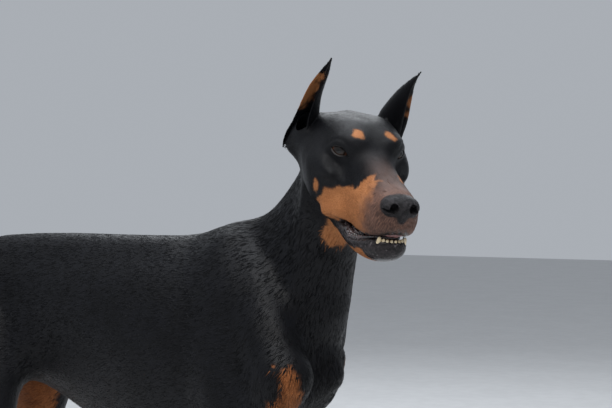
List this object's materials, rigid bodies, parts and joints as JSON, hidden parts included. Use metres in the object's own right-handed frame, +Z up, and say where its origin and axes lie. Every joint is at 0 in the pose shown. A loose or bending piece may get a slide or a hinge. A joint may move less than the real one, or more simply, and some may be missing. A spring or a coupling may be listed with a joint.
{
  "type": "doberman pinscher",
  "caption": "Life-size standing dog with cropped ears, a docked tail, the head turned to its right and the mouth slightly open.",
  "frame": {"origin": "middle of the bounding box in plan, at floor level", "axes": "+X forward along the trunk, +Y to the dog's left, +Z up"},
  "size_m": [1.0898, 0.3386, 0.8891],
  "materials": {
    "black coat": "short glossy fur, black with a blue-grey sheen",
    "tan coat": "short rust-tan fur",
    "nose leather": "damp dark grey pebbled leather",
    "eye": "wet dark brown",
    "tongue": "moist pink"
  },
  "bodies": {
    "root": {"head": "black coat", "nose": "nose leather", "lower_jaw": "tan coat", "tongue": "tongue", "eye_right": "eye", "eye_left": "eye", "ear_right": "black coat", "ear_left": "black coat", "neck": "black coat", "torso": "black coat", "tail": "black coat", "front_right_shoulder": "black coat", "front_right_forearm": "black coat", "front_right_paw": "tan coat", "front_left_shoulder": "black coat", "front_left_forearm": "black coat", "front_left_paw": "tan coat", "hind_right_thigh": "black coat", "hind_right_shank": "black coat", "hind_right_paw": "tan coat", "hind_left_thigh": "black coat", "hind_left_shank": "black coat", "hind_left_paw": "tan coat"}
  },
  "joints": []
}
